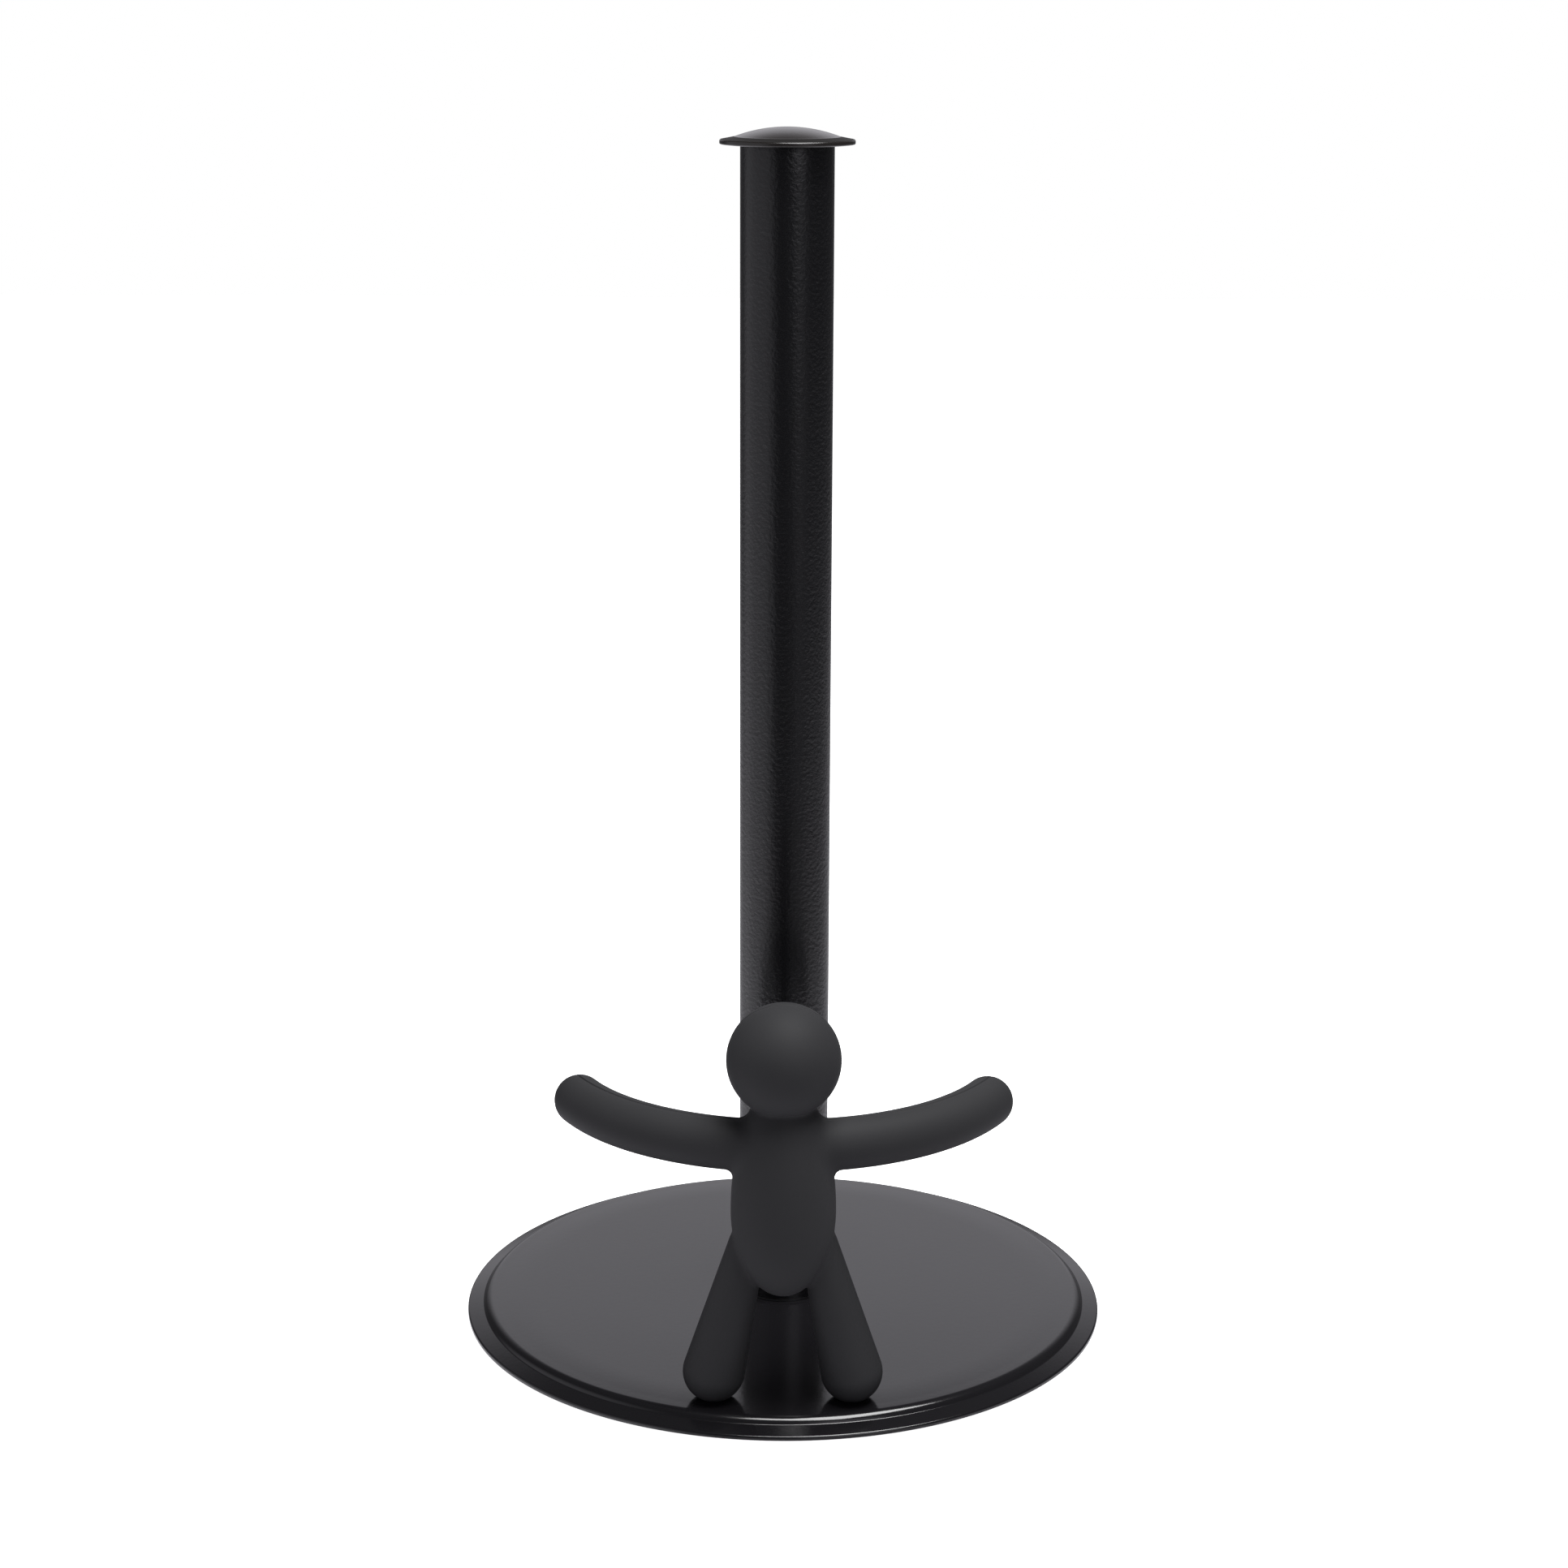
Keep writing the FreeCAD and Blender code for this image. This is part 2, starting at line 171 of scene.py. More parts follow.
def lathe(name, outline, segments, sharp_degrees=40):
    """Turns a closed (radius, height) outline about the pole's axis; radius 0 makes a single point."""
    points = []
    rings = []
    for radius, height in outline:
        if radius < 1e-6:
            rings.append([len(points)] * segments)
            points.append((0, 0, height))
            continue
        rings.append(list(range(len(points), len(points) + segments)))
        for segment in range(segments):
            angle = 2 * math.pi * segment / segments
            points.append((radius * math.cos(angle), radius * math.sin(angle), height))
    faces = []
    for lower, upper in zip(rings, rings[1:]):
        for here in range(segments):
            there = (here + 1) % segments
            corners = [lower[here], upper[here], upper[there], lower[there]]
            face = [corner for place, corner in enumerate(corners) if corner not in corners[:place]]
            if len(face) > 2:
                faces.append(face)
    return new_piece(name, points, faces, sharp_degrees)


def closed(outline):
    """The outline with its first point again at its end."""
    return outline + [outline[0]]


def with_rings(outline, spacing):
    """The outline with its long runs divided, so that wide flats have rings of their own."""
    divided = [outline[0]]
    for start, end in zip(outline, outline[1:]):
        pieces = max(1, math.ceil(math.dist(start, end) / spacing))
        for piece in range(1, pieces + 1):
            share = piece / pieces
            radius = start[0] + (end[0] - start[0]) * share
            height = start[1] + (end[1] - start[1]) * share
            divided.append((radius, height))
    return divided


# ---- Materials ----
MOTTLE = 0.02
LIGHTER = 1.18
DARKER = 0.72
CLOUD_SCALE = 38
GRAIN_DEPTH = 0.0004
MARKS_SCALE = 220
MARKS_STRENGTH = 0.08
MARKS_DEPTH = 0.0003
SMOOTHER = 0.1
ROUGHER = 0.12


def coated(name, colour, roughness, grain, specular=0.5):
    """Painted or moulded surface: grain (scale, strength) in the bump, roughness and shade that drift."""
    material = bpy.data.materials.new(name)
    material.use_nodes = True
    nodes = material.node_tree.nodes
    links = material.node_tree.links
    shader = nodes["Principled BSDF"]
    shader.inputs["Specular IOR Level"].default_value = specular
    where = nodes.new("ShaderNodeTexCoord")
    cloud = nodes.new("ShaderNodeTexNoise")
    cloud.inputs["Scale"].default_value = CLOUD_SCALE
    cloud.inputs["Detail"].default_value = 4
    links.new(where.outputs["Object"], cloud.inputs["Vector"])
    rough = nodes.new("ShaderNodeMapRange")
    rough.inputs["To Min"].default_value = roughness - MOTTLE
    rough.inputs["To Max"].default_value = roughness + MOTTLE
    links.new(cloud.outputs["Fac"], rough.inputs["Value"])
    links.new(rough.outputs["Result"], shader.inputs["Roughness"])
    shade = nodes.new("ShaderNodeMix")
    shade.data_type = "RGBA"
    shade.inputs["A"].default_value = (*colour, 1)
    shade.inputs["B"].default_value = (*(channel * LIGHTER for channel in colour), 1)
    links.new(cloud.outputs["Fac"], shade.inputs["Factor"])
    links.new(shade.outputs["Result"], shader.inputs["Base Color"])
    fine = nodes.new("ShaderNodeTexNoise")
    fine.inputs["Scale"].default_value = grain[0]
    fine.inputs["Detail"].default_value = 3
    links.new(where.outputs["Object"], fine.inputs["Vector"])
    bump = nodes.new("ShaderNodeBump")
    bump.inputs["Strength"].default_value = grain[1]
    bump.inputs["Distance"].default_value = GRAIN_DEPTH
    links.new(fine.outputs["Fac"], bump.inputs["Height"])
    links.new(bump.outputs["Normal"], shader.inputs["Normal"])
    return material


def metal(name, colour, roughness, stretch):
    """Bare machined or plated metal, with the brushing drawn out by a stretch along each axis."""
    material = bpy.data.materials.new(name)
    material.use_nodes = True
    nodes = material.node_tree.nodes
    links = material.node_tree.links
    shader = nodes["Principled BSDF"]
    shader.inputs["Metallic"].default_value = 1
    where = nodes.new("ShaderNodeTexCoord")
    mapping = nodes.new("ShaderNodeMapping")
    mapping.inputs["Scale"].default_value = stretch
    links.new(where.outputs["Object"], mapping.inputs["Vector"])
    marks = nodes.new("ShaderNodeTexNoise")
    marks.inputs["Scale"].default_value = MARKS_SCALE
    marks.inputs["Detail"].default_value = 6
    links.new(mapping.outputs["Vector"], marks.inputs["Vector"])
    rough = nodes.new("ShaderNodeMapRange")
    rough.inputs["To Min"].default_value = roughness - SMOOTHER
    rough.inputs["To Max"].default_value = roughness + ROUGHER
    links.new(marks.outputs["Fac"], rough.inputs["Value"])
    links.new(rough.outputs["Result"], shader.inputs["Roughness"])
    shade = nodes.new("ShaderNodeMix")
    shade.data_type = "RGBA"
    shade.inputs["A"].default_value = (*colour, 1)
    shade.inputs["B"].default_value = (*(channel * DARKER for channel in colour), 1)
    links.new(marks.outputs["Fac"], shade.inputs["Factor"])
    links.new(shade.outputs["Result"], shader.inputs["Base Color"])
    bump = nodes.new("ShaderNodeBump")
    bump.inputs["Strength"].default_value = MARKS_STRENGTH
    bump.inputs["Distance"].default_value = MARKS_DEPTH
    links.new(marks.outputs["Fac"], bump.inputs["Height"])
    links.new(bump.outputs["Normal"], shader.inputs["Normal"])
    return material


base_paint = coated("satin_black_base", (0.0065, 0.0062, 0.0072), 0.14, (700, 0.03))
pole_paint = coated("satin_black_pole", (0.0022, 0.0022, 0.0027), 0.26, (950, 0.32), specular=0.45)
cap_paint = coated("satin_black_cap", (0.011, 0.0095, 0.009), 0.22, (800, 0.03))
# Painted shade: a darker copy of the cap's satin black, with its reflection nearly turned off, which
# keeps the brim dark.
brim_painted_shade = coated("satin_black_brim_painted_shade", (0.004, 0.0035, 0.003), 0.48, (800, 0.05), specular=0.05)
soft_touch = coated("soft_touch_charcoal", (0.0240, 0.0240, 0.0254), 0.66, (1600, 0.06), specular=0.12)
rubber = coated("black_rubber", (0.012, 0.012, 0.012), 0.85, (500, 0.25), specular=0.3)
nylon = coated("black_nylon", (0.014, 0.014, 0.015), 0.45, (600, 0.05))
steel = metal("sheet_steel", (0.46, 0.46, 0.47), 0.38, (1, 12, 1))
turned_steel = metal("turned_steel", (0.52, 0.52, 0.53), 0.30, (1, 1, 14))
zinc = metal("bright_zinc", (0.66, 0.67, 0.70), 0.28, (1, 1, 6))
brass = metal("turned_brass", (0.74, 0.56, 0.27), 0.28, (1, 1, 10))


def finish(piece, material, body, node):
    """Gives a new piece its material, if it has none, its body and the CAD node it replaces."""
    if not piece.data.materials:
        piece.data.materials.append(material)
    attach(piece, body)
    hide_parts(node)


def repaint(node, material):
    """Gives a CAD node that stays a better material."""
    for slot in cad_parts[node].material_slots:
        slot.material = material


# ---- Base ----
step_foot = base_radius - FLANGE_WIDTH
flange_top = deck - STEP_HEIGHT


def cover_top():
    """Deck with its edge easing down, shoulder, step wall, flange and lip, from the middle outwards."""
    shoulder = step_foot - WALL_LEAN - DECK_ROUND * 0.6
    ease_parts = 8
    ease = []
    for part in range(ease_parts):
        share = part / ease_parts
        ease.append((shoulder - EASE_WIDTH * (1 - share), deck - EASE_DROP * share ** 2, 0))
    return [
        (0, deck, 0),
        *ease,
        (step_foot - WALL_LEAN, deck - EASE_DROP, DECK_ROUND),
        (step_foot, flange_top, STEP_ROUND),
        (base_radius, flange_top - FLANGE_FALL, LIP_ROUND),
        (base_radius, cover_low.z, 0),
    ]


def make_cover():
    """The pressed cover: its top outline, the lip's edge, and an outline about one sheet lower."""
    outer = with_rings(rounded(cover_top(), 12), 6)
    under = [
        (base_radius - sheet, cover_low.z, 0),
        (base_radius - sheet, flange_top - FLANGE_FALL - sheet * 0.8, 0.2),
        (step_foot - sheet * 0.8, flange_top - sheet, STEP_ROUND),
        (step_foot - WALL_LEAN - sheet * 0.7, deck - sheet, DECK_ROUND - sheet),
        (0, deck - sheet, 0),
    ]
    inner = with_rings(rounded(under), 12)
    cover = lathe("pressed_cover", outer + inner, COVER_SEGMENTS)
    finish(cover, base_paint, "base", "base_cover")


def make_pad():
    """The rubber pad, with fine concentric grooves in its underside."""
    ribs = []
    radius = FIRST_RIB
    while radius < pad_high.x - PAD_BORDER:
        for offset, height in ((0, 0), (0.5, 0), (0.75, RIB_DEPTH), (1.3, RIB_DEPTH), (1.55, 0)):
            ribs.append((radius + offset, height))
        radius += RIB_PITCH
    outline = [(0, 0)] + ribs + rounded([
        (pad_high.x - 2, 0, 0),
        (pad_high.x, 0, 0.35),
        (pad_high.x, pad_high.z, 0),
        (0, pad_high.z, 0),
    ])
    pad = lathe("ribbed_pad", outline, ROUND_SEGMENTS)
    finish(pad, rubber, "base", "base_pad")


# ---- Pole ----
def make_tube():
    """The tube, with its cut ends slightly rounded."""
    bore = tube_radius - TUBE_WALL
    outline = rounded(closed([
        (bore, (tube_low.z + tube_high.z) / 2, 0),
        (bore, tube_low.z, 0.1),
        (tube_radius, tube_low.z, EDGE_ROUND),
        (tube_radius, tube_high.z, EDGE_ROUND),
        (bore, tube_high.z, 0.1),
    ]))
    tube = lathe("pole", with_rings(outline, 12), ROUND_SEGMENTS)
    finish(tube, pole_paint, "pole", "pole_tube")


def make_cap():
    """Shallow dome that runs out into a thin flat brim, with a hollow spigot below."""
    apex = cap_high.z
    brim_top = tube_high.z + CAP_RIM
    dome_radius = cap_radius - BRIM_WIDTH
    dome_drop = apex - brim_top - BRIM_DROP
    curve = (dome_radius ** 2 + dome_drop ** 2) / (2 * dome_drop)
    half_angle = math.asin(dome_radius / curve)
    dome_steps = 24
    dome = []
    for step in range(dome_steps + 1):
        angle = half_angle * step / dome_steps
        dome.append((curve * math.sin(angle), apex - curve * (1 - math.cos(angle))))
    edge = rounded([
        (dome_radius, apex - dome_drop, 0),
        (cap_radius, brim_top, BRIM_ROUND),
        (cap_radius, tube_high.z, RIM_ROUND),
        (SPIGOT_RADIUS, tube_high.z, 0),
        (SPIGOT_RADIUS, cap_low.z, 0.4),
        (SPIGOT_RADIUS - SPIGOT_WALL, cap_low.z, 0.4),
        (SPIGOT_RADIUS - SPIGOT_WALL, tube_high.z, 1.0),
        (0, tube_high.z, 0),
    ])
    cap = lathe("domed_cap", dome + edge[1:], ROUND_SEGMENTS, 60)
    cap.data.materials.append(cap_paint)
    cap.data.materials.append(brim_painted_shade)
    # The brim's upward faces take the painted-shade copy of the cap paint instead of the cap paint.
    brim = cap_radius - BRIM_WIDTH * 0.97
    for face in cap.data.polygons:
        on_brim = face.center.to_2d().length > brim * MM and face.normal.z > 0.8
        face.material_index = 1 if on_brim else 0
    finish(cap, cap_paint, "pole", "pole_cap")


def make_bolt():
    """The bolt under the pole: a stud with a real helical thread, and its flat head below."""
    segments = THREAD_SEGMENTS
    bottom = bolt_low.z + BOLT_HEAD
    top = bolt_high.z
    turns = (top - bottom) / THREAD_PITCH
    rows = round(turns * THREAD_ROWS_PER_TURN)
    points = []
    for row in range(rows + 1):
        height = bottom + (top - bottom) * row / rows
        for segment in range(segments):
            angle = 2 * math.pi * segment / segments
            phase = (height - bottom) / THREAD_PITCH - segment / segments
            ridge = abs((phase % 1.0) - 0.5) * 2
            ends = min(1.0, (top - height) / THREAD_PITCH)
            radius = THREAD_RADIUS - THREAD_DEPTH * max(ridge, 1 - ends)
            points.append((radius * math.cos(angle), radius * math.sin(angle), height))
    faces = []
    for row in range(rows):
        for segment in range(segments):
            here = row * segments + segment
            there = row * segments + (segment + 1) % segments
            faces.append([here, there, there + segments, here + segments])
    faces.append([rows * segments + segment for segment in range(segments)])
    faces.append(list(reversed(range(segments))))
    head_radius = bolt_high.x
    head = rounded([
        (0, bolt_low.z, 0),
        (head_radius, bolt_low.z, 0.3),
        (head_radius, bottom, 0),
        (0, bottom, 0),
    ])
    shank = new_piece("pole_stud", points, faces, 30)
    flange = lathe("stud_head", head, BOLT_SEGMENTS)
    for piece in (shank, flange):
        piece.data.materials.append(zinc)
    flange.parent = shank
    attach(shank, "base")
    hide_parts("pole_bolt")


# ---- Figure ----
def join_round(first, second, rounding):
    """Two distance fields joined with a fillet of that radius."""
    reach_first = np.maximum(rounding - first, 0)
    reach_second = np.maximum(rounding - second, 0)
    return np.maximum(rounding, np.minimum(first, second)) - np.hypot(reach_first, reach_second)


def cut_round(first, second, rounding):
    """What two distance fields share, with its edge rounded."""
    reach_first = np.maximum(rounding + first, 0)
    reach_second = np.maximum(rounding + second, 0)
    return np.minimum(-rounding, np.maximum(first, second)) + np.hypot(reach_first, reach_second)


def torso_field(x, y, z):
    """Egg: the two halves of an upright ellipsoid with one waist and different heights."""
    up = z - deck - TORSO_MIDDLE
    across = y - middle_y
    half = np.where(up < 0, TORSO_LOWER, TORSO_UPPER)
    unit = np.sqrt((x * x + across * across) / TORSO_RADIUS ** 2 + (up / half) ** 2)
    slope = np.sqrt((x * x + across * across) / TORSO_RADIUS ** 4 + (up / half ** 2) ** 2)
    return unit * (unit - 1) / np.maximum(slope, 1e-9)


def arms_field(x, y, z):
    """Both arms: one round bar bent about the hug axis, with rounded ends."""
    side = np.abs(x)
    angle = np.arctan2(side, hug_y - y)
    up = z - deck - ARM_ABOVE_DECK
    along = np.hypot(np.hypot(side, hug_y - y) - HUG_RADIUS, up)
    tip_x = HUG_RADIUS * math.sin(ARM_REACH)
    tip_y = hug_y - HUG_RADIUS * math.cos(ARM_REACH)
    past = np.sqrt((side - tip_x) ** 2 + (y - tip_y) ** 2 + up ** 2)
    return np.where(angle < ARM_REACH, along, past) - ARM_RADIUS


def legs_field(x, y, z):
    """Both legs: a ball at the foot and one at the hip, with the cone that touches both."""
    foot_y = hug_y - math.sqrt(HUG_RADIUS ** 2 - foot_half_gap ** 2)
    hip_y = hug_y - math.sqrt(HUG_RADIUS ** 2 - HIP_HALF_GAP ** 2)
    foot = np.array((foot_half_gap, foot_y, deck + FOOT_ABOVE_DECK))
    hip = np.array((HIP_HALF_GAP, hip_y, deck + HIP_ABOVE_DECK))
    bone = hip - foot
    length_2 = bone @ bone
    taper = FOOT_RADIUS - HIP_RADIUS
    cone_2 = length_2 - taper ** 2
    offset = np.stack((np.abs(x) - foot[0], y - foot[1], z - foot[2]), axis=-1)
    along = offset @ bone
    beyond = along - length_2
    away_2 = np.sum((offset * length_2 - along[..., None] * bone) ** 2, axis=-1)
    bound = taper ** 2 * away_2
    at_hip = np.sqrt(away_2 + beyond ** 2 * length_2) / length_2 - HIP_RADIUS
    at_foot = np.sqrt(away_2 + along ** 2 * length_2) / length_2 - FOOT_RADIUS
    on_cone = (np.sqrt(away_2 * cone_2 / length_2) + along * taper) / length_2 - FOOT_RADIUS
    past_hip = np.sign(beyond) * cone_2 * beyond ** 2 * length_2 > bound
    before_foot = np.sign(along) * cone_2 * along ** 2 * length_2 < bound
    return np.where(past_hip, at_hip, np.where(before_foot, at_foot, on_cone))


def figure_field(x, y, z):
    """Distance to the figure's outside, negative inside it."""
    head = np.sqrt(x ** 2 + (y - middle_y) ** 2 + (z - deck - HEAD_ABOVE_DECK) ** 2) - HEAD_RADIUS
    body = join_round(torso_field(x, y, z), arms_field(x, y, z), SHOULDER_ROUND)
    body = join_round(body, legs_field(x, y, z), HIP_ROUND)
    body = join_round(body, head, NECK_ROUND)
    return cut_round(body, deck - z, SOLE_ROUND)


def unroll(points):
    """Real points as (arc length along the split, distance from the hug axis, height)."""
    toward = hug_y - points[:, 1]
    angle = np.arctan2(points[:, 0], toward)
    return np.stack((angle * HUG_RADIUS, np.hypot(points[:, 0], toward), points[:, 2]), axis=1)


def roll(flat):
    """The reverse of unroll."""
    angle = flat[:, 0] / HUG_RADIUS
    return np.stack((flat[:, 1] * np.sin(angle), hug_y - flat[:, 1] * np.cos(angle), flat[:, 2]), axis=1)


def field_slope(points):
    """Distance and unit outward direction of the figure's field at each point."""
    value = figure_field(*points.T)
    reach = 0.01
    slope = np.empty_like(points)
    for axis in range(3):
        shift = np.zeros(3)
        shift[axis] = reach
        ahead = figure_field(*(points + shift).T)
        behind = figure_field(*(points - shift).T)
        slope[:, axis] = (ahead - behind) / (2 * reach)
    length = np.maximum(np.linalg.norm(slope, axis=1, keepdims=True), 1e-6)
    return value, slope / length


def figure_skin(step):
    """Quads over the figure: one point in each cell that its surface crosses, eased onto the surface."""
    reach_s = (ARM_REACH * HUG_RADIUS) + ARM_RADIUS * 1.3 + 2 * step
    reach_r = HEAD_RADIUS + 2 * step
    axes = [
        np.arange(-reach_s, reach_s + step, step),
        np.arange(HUG_RADIUS - reach_r, HUG_RADIUS + reach_r + step, step),
        np.arange(deck - 2 * step, deck + HEAD_ABOVE_DECK + HEAD_RADIUS + 3 * step, step),
    ]
    grid = np.stack(np.meshgrid(*axes, indexing="ij"), axis=-1)
    shape = grid.shape[:3]
    inside = (figure_field(*roll(grid.reshape(-1, 3)).T) < 0).reshape(shape)
    cells = tuple(count - 1 for count in shape)
    filled = np.zeros(cells, int)
    for corner in range(8):
        i, j, k = corner & 1, corner >> 1 & 1, corner >> 2 & 1
        filled += inside[i:i + cells[0], j:j + cells[1], k:k + cells[2]]
    mixed = (filled > 0) & (filled < 8)
    number = np.full(cells, -1)
    number[mixed] = np.arange(mixed.sum())
    origin = np.array([axis[0] for axis in axes])
    points = roll(origin + (np.argwhere(mixed) + 0.5) * step)
    quads = []
    for axis in range(3):
        first, second = (axis + 1) % 3, (axis + 2) % 3
        lower = np.take(inside, range(shape[axis] - 1), axis)
        upper = np.take(inside, range(1, shape[axis]), axis)
        edges = np.argwhere(lower != upper)
        one = np.eye(3, dtype=int)
        around = [edges - one[first] - one[second], edges - one[second], edges, edges - one[first]]
        quad = np.stack([number[tuple(place.T)] for place in around], axis=1)
        flip = ~lower[tuple(edges.T)]
        quad[flip] = quad[flip][:, ::-1]
        quads.append(quad[:, ::-1])
    quads = np.concatenate(quads)
    pairs = np.concatenate([quads[:, [side, (side + 1) % 4]] for side in range(4)])
    for smoothing in range(SMOOTHING_ROUNDS):
        total = np.zeros_like(points)
        np.add.at(total, pairs[:, 0], points[pairs[:, 1]])
        np.add.at(total, pairs[:, 1], points[pairs[:, 0]])
        count = np.bincount(pairs.ravel(), minlength=len(points))[:, None]
        points = points * 0.4 + total / count * 0.6
        for repeat in range(2):
            value, slope = field_slope(points)
            points = points - slope * np.clip(value, -step, step)[:, None]
    return points, quads


def figure_half(name, points, quads, outward, node):
    """One shell of the figure: the skin on one side of the split, with a fine groove along its edge."""
    flat = unroll(points)
    skin = bmesh.new()
    verts = [skin.verts.new(point) for point in flat]
    for quad in quads.tolist():
        skin.faces.new([verts[corner] for corner in quad])
    normal = Vector((0, outward, 0))
    for offset, clear in ((GROOVE_LIP, False), (SPLIT_GAP, True)):
        bmesh.ops.bisect_plane(
            skin,
            geom=skin.verts[:] + skin.edges[:] + skin.faces[:],
            dist=1e-4,
            plane_co=Vector((0, HUG_RADIUS + outward * offset, 0)),
            plane_no=normal,
            clear_inner=clear,
        )
    rim = [edge for edge in skin.edges if edge.is_boundary]
    rim_verts = list({vert for edge in rim for vert in edge.verts})
    real = roll(np.array([vert.co for vert in rim_verts]))
    slope = field_slope(real)[1]
    pushed = unroll(real - slope * GROOVE_DEPTH)
    for vert, place in zip(rim_verts, pushed):
        vert.co = (place[0], HUG_RADIUS + outward * SPLIT_GAP, max(place[2], deck))
    plug = bmesh.ops.triangle_fill(skin, edges=rim, use_beauty=True)["geom"]
    spacing = 4.0
    cuts = int((ARM_REACH * HUG_RADIUS + ARM_RADIUS) / spacing)
    for step in range(-cuts, cuts + 1):
        plug_faces = [item for item in plug if isinstance(item, bmesh.types.BMFace) and item.is_valid]
        plug_edges = list({edge for face in plug_faces for edge in face.edges})
        plug_verts = list({vert for face in plug_faces for vert in face.verts})
        cut = bmesh.ops.bisect_plane(
            skin,
            geom=plug_faces + plug_edges + plug_verts,
            dist=1e-4,
            plane_co=Vector((step * spacing, 0, 0)),
            plane_no=Vector((1, 0, 0)),
        )
        plug = plug_faces + cut["geom"]
        plug = list({item for item in plug if isinstance(item, bmesh.types.BMFace) and item.is_valid})
    bmesh.ops.triangulate(skin, faces=[face for face in skin.faces if len(face.verts) > 4])
    skin.verts.index_update()
    places = roll(np.array([vert.co for vert in skin.verts]))
    faces = [[vert.index for vert in face.verts][::-1] for face in skin.faces]
    skin.free()
    shell = new_piece(name, places, faces, 50)
    finish(shell, soft_touch, "base", node)


def make_figure():
    """Both shells, cut from one skin."""
    points, quads = figure_skin(SKIN_STEP)
    figure_half("figure_front", points, quads, 1, "figure_front_shell")
    figure_half("figure_back", points, quads, -1, "figure_rear_shell")


# ---- Camera, floor and light ----
FOCAL_LENGTH = 71.03
CAMERA_PLACE = (0, -0.8441, 0.3749)
CAMERA_PITCH = math.radians(14.493)
CAMERA_YAW = math.radians(0.019)
CAMERA_TILT = math.radians(0.22)
FLOOR_HALF = 3.0
FLOOR_GAP = 0.0001
FLOOR_SHADE = (0.82, 0.82, 0.82, 1)
FLOOR_GLOW = 0.92
LAMP_PLACE = (0.26, -0.21, 1.35)
LAMP_TARGET = (0, -0.08, 0)
LAMP_SIZE = (0.88, 0.74)
LAMP_POWER = 30
WHITE = (1, 1, 1, 1)
# A pair is where a change starts and ends, along one axis of the direction looked in.
AMBIENT = 0.07
TINT = (1.0, 0.985, 1.05, 1)
BACK_WALL = 0.75
BACK_WALL_TOP = (0.40, 0.70)
BACK_WALL_SIDE = (0.12, 0.62)
BACK_WALL_FOOT = (-0.02, 0.2)
BACK_WALL_FOOT_SHADE = 0.15
BACK_WALL_NEAR = (0.2, 0.6)
TABLE = 0.50
TABLE_EDGE = (-0.34, -0.12)
TABLE_FRONT = (-0.85, -0.4)
NEAR_TABLE = 0.8
NEAR_TABLE_EDGE = (-0.46, -0.34)
# Azimuth, elevation, inner and outer edge in degrees, and strength.
PANELS = (
    (-78, -5, 33, 55, 0.48),
    (33, 6, 6, 20, 0.42),
    (24, 25, 8, 25, 1.7),
)


def make_camera():
    """The camera at the holder's front, a little above it and looking slightly down."""
    lens = bpy.data.cameras.new("camera")
    lens.lens = FOCAL_LENGTH
    lens.clip_start = 0.02
    camera = bpy.data.objects.new("camera", lens)
    bpy.context.scene.collection.objects.link(camera)
    bpy.context.scene.camera = camera
    turn = Matrix.Rotation(CAMERA_YAW, 4, "Z") @ Matrix.Rotation(math.pi / 2 - CAMERA_PITCH, 4, "X")
    camera.matrix_world = Matrix.Translation(CAMERA_PLACE) @ turn @ Matrix.Rotation(CAMERA_TILT, 4, "Z")


def make_floor():
    """A wide pale floor, a hair below the pad so that their faces don't coincide."""
    half = FLOOR_HALF
    low = -FLOOR_GAP
    corners = [(-half, -half, low), (half, -half, low), (half, half, low), (-half, half, low)]
    mesh = bpy.data.meshes.new("floor")
    mesh.from_pydata(corners, [], [(0, 1, 2, 3)])
    floor = bpy.data.objects.new("floor", mesh)
    bpy.context.scene.collection.objects.link(floor)
    material = bpy.data.materials.new("pale_floor")
    material.use_nodes = True
    shader = material.node_tree.nodes["Principled BSDF"]
    shader.inputs["Base Color"].default_value = FLOOR_SHADE
    shader.inputs["Roughness"].default_value = 0.9
    shader.inputs["Specular IOR Level"].default_value = 0.0
    shader.inputs["Emission Color"].default_value = WHITE
    shader.inputs["Emission Strength"].default_value = FLOOR_GLOW
    mesh.materials.append(material)
    floor.visible_glossy = False
    floor.visible_diffuse = False
    floor.visible_shadow = False


def make_light(name, place, target, size, power):
    """A soft rectangular light that faces a point."""
    lamp = bpy.data.lights.new(name, "AREA")
    lamp.shape = "RECTANGLE"
    lamp.size, lamp.size_y = size
    lamp.energy = power
    light = bpy.data.objects.new(name, lamp)
    bpy.context.scene.collection.objects.link(light)
    light.location = place
    light.rotation_euler = (Vector(target) - Vector(place)).to_track_quat("-Z", "Y").to_euler()


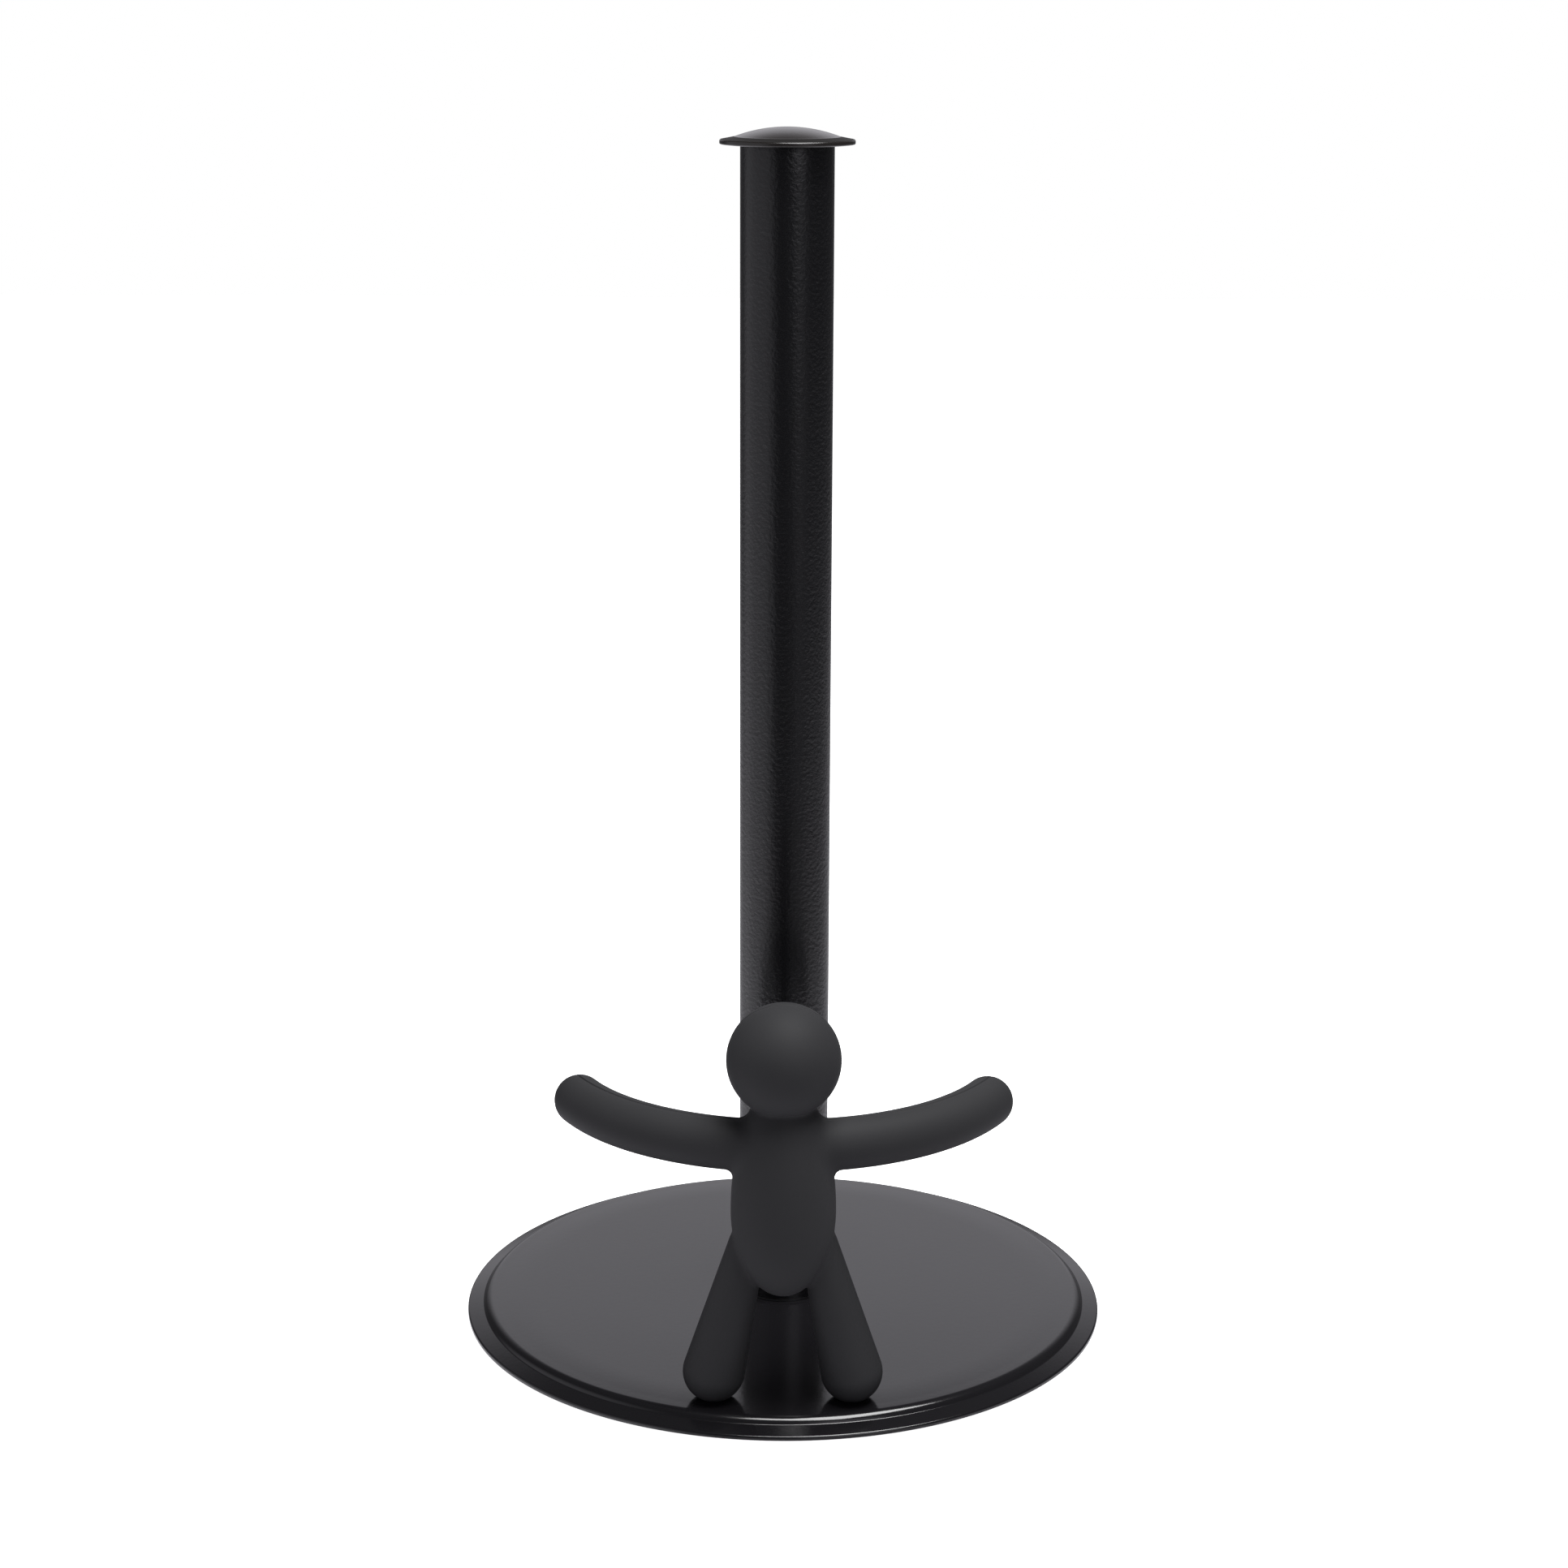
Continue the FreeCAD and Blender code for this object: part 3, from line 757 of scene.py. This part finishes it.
def make_world():
    """A soft studio: a wall behind, a table below and three round panels, with a white backdrop."""
    world = bpy.data.worlds.new("studio")
    bpy.context.scene.world = world
    world.use_nodes = True
    nodes = world.node_tree.nodes
    links = world.node_tree.links
    where = nodes.new("ShaderNodeTexCoord")
    direction = where.outputs["Generated"]
    axes = nodes.new("ShaderNodeSeparateXYZ")
    links.new(direction, axes.inputs["Vector"])
    backwards = axes.outputs["Y"]
    upwards = axes.outputs["Z"]

    def ease(value, low, high, start, end):
        """A smooth change from start to end as the value goes from low to high."""
        node = nodes.new("ShaderNodeMapRange")
        node.interpolation_type = "SMOOTHSTEP"
        node.inputs["From Min"].default_value = low
        node.inputs["From Max"].default_value = high
        node.inputs["To Min"].default_value = start
        node.inputs["To Max"].default_value = end
        links.new(value, node.inputs["Value"])
        return node.outputs["Result"]

    def maths(operation, first, second=None):
        """One maths node on one or two values."""
        node = nodes.new("ShaderNodeMath")
        node.operation = operation
        links.new(first, node.inputs[0])
        if second:
            links.new(second, node.inputs[1])
        return node.outputs["Value"]

    def panel(azimuth, elevation, inner, outer, strength):
        """A round soft panel, its azimuth from the front towards the right, all angles in degrees."""
        turn, rise = math.radians(azimuth), math.radians(elevation)
        node = nodes.new("ShaderNodeVectorMath")
        node.operation = "DOT_PRODUCT"
        links.new(direction, node.inputs[0])
        node.inputs[1].default_value = (
            math.sin(turn) * math.cos(rise),
            -math.cos(turn) * math.cos(rise),
            math.sin(rise),
        )
        edge = (math.cos(math.radians(outer)), math.cos(math.radians(inner)))
        return ease(node.outputs["Value"], *edge, 0, strength)

    sideways = maths("ABSOLUTE", axes.outputs["X"])
    wall = ease(upwards, *BACK_WALL_TOP, BACK_WALL, 0)
    wall = maths("MULTIPLY", wall, ease(backwards, *BACK_WALL_NEAR, 0, 1))
    wall = maths("MULTIPLY", wall, ease(sideways, *BACK_WALL_SIDE, 1, 0))
    wall = maths("MULTIPLY", wall, ease(upwards, *BACK_WALL_FOOT, BACK_WALL_FOOT_SHADE, 1))
    table = maths("MULTIPLY", ease(upwards, *TABLE_EDGE, TABLE, 0), ease(backwards, *TABLE_FRONT, 0, 1))
    near = ease(upwards, *NEAR_TABLE_EDGE, NEAR_TABLE, 0)
    total = maths("ADD", maths("ADD", wall, table), near)
    for shape in PANELS:
        total = maths("ADD", total, panel(*shape))
    base = nodes.new("ShaderNodeMath")
    base.operation = "ADD"
    base.inputs[1].default_value = AMBIENT
    links.new(total, base.inputs[0])
    room = nodes["Background"]
    room.inputs["Color"].default_value = TINT
    links.new(base.outputs["Value"], room.inputs["Strength"])
    backdrop = nodes.new("ShaderNodeBackground")
    backdrop.inputs["Color"].default_value = WHITE
    mix = nodes.new("ShaderNodeMixShader")
    seen = nodes.new("ShaderNodeLightPath")
    links.new(seen.outputs["Is Camera Ray"], mix.inputs["Fac"])
    links.new(room.outputs["Background"], mix.inputs[1])
    links.new(backdrop.outputs["Background"], mix.inputs[2])
    links.new(mix.outputs["Shader"], nodes["World Output"].inputs["Surface"])


make_camera()
make_floor()
make_world()
make_light("overhead", LAMP_PLACE, LAMP_TARGET, LAMP_SIZE, LAMP_POWER)
bpy.context.scene.view_settings.view_transform = "Standard"

make_cover()
make_pad()
make_tube()
make_cap()
make_bolt()
make_figure()
repaint("base_weight", steel)
repaint("figure_inserts", brass)
repaint("pole_plug", turned_steel)
for node in ("bolt_spring_washer", "bolt_nut", "figure_washers", "figure_screws"):
    repaint(node, zinc)
for node in ("slip_washer", "cap_bush"):
    repaint(node, nylon)
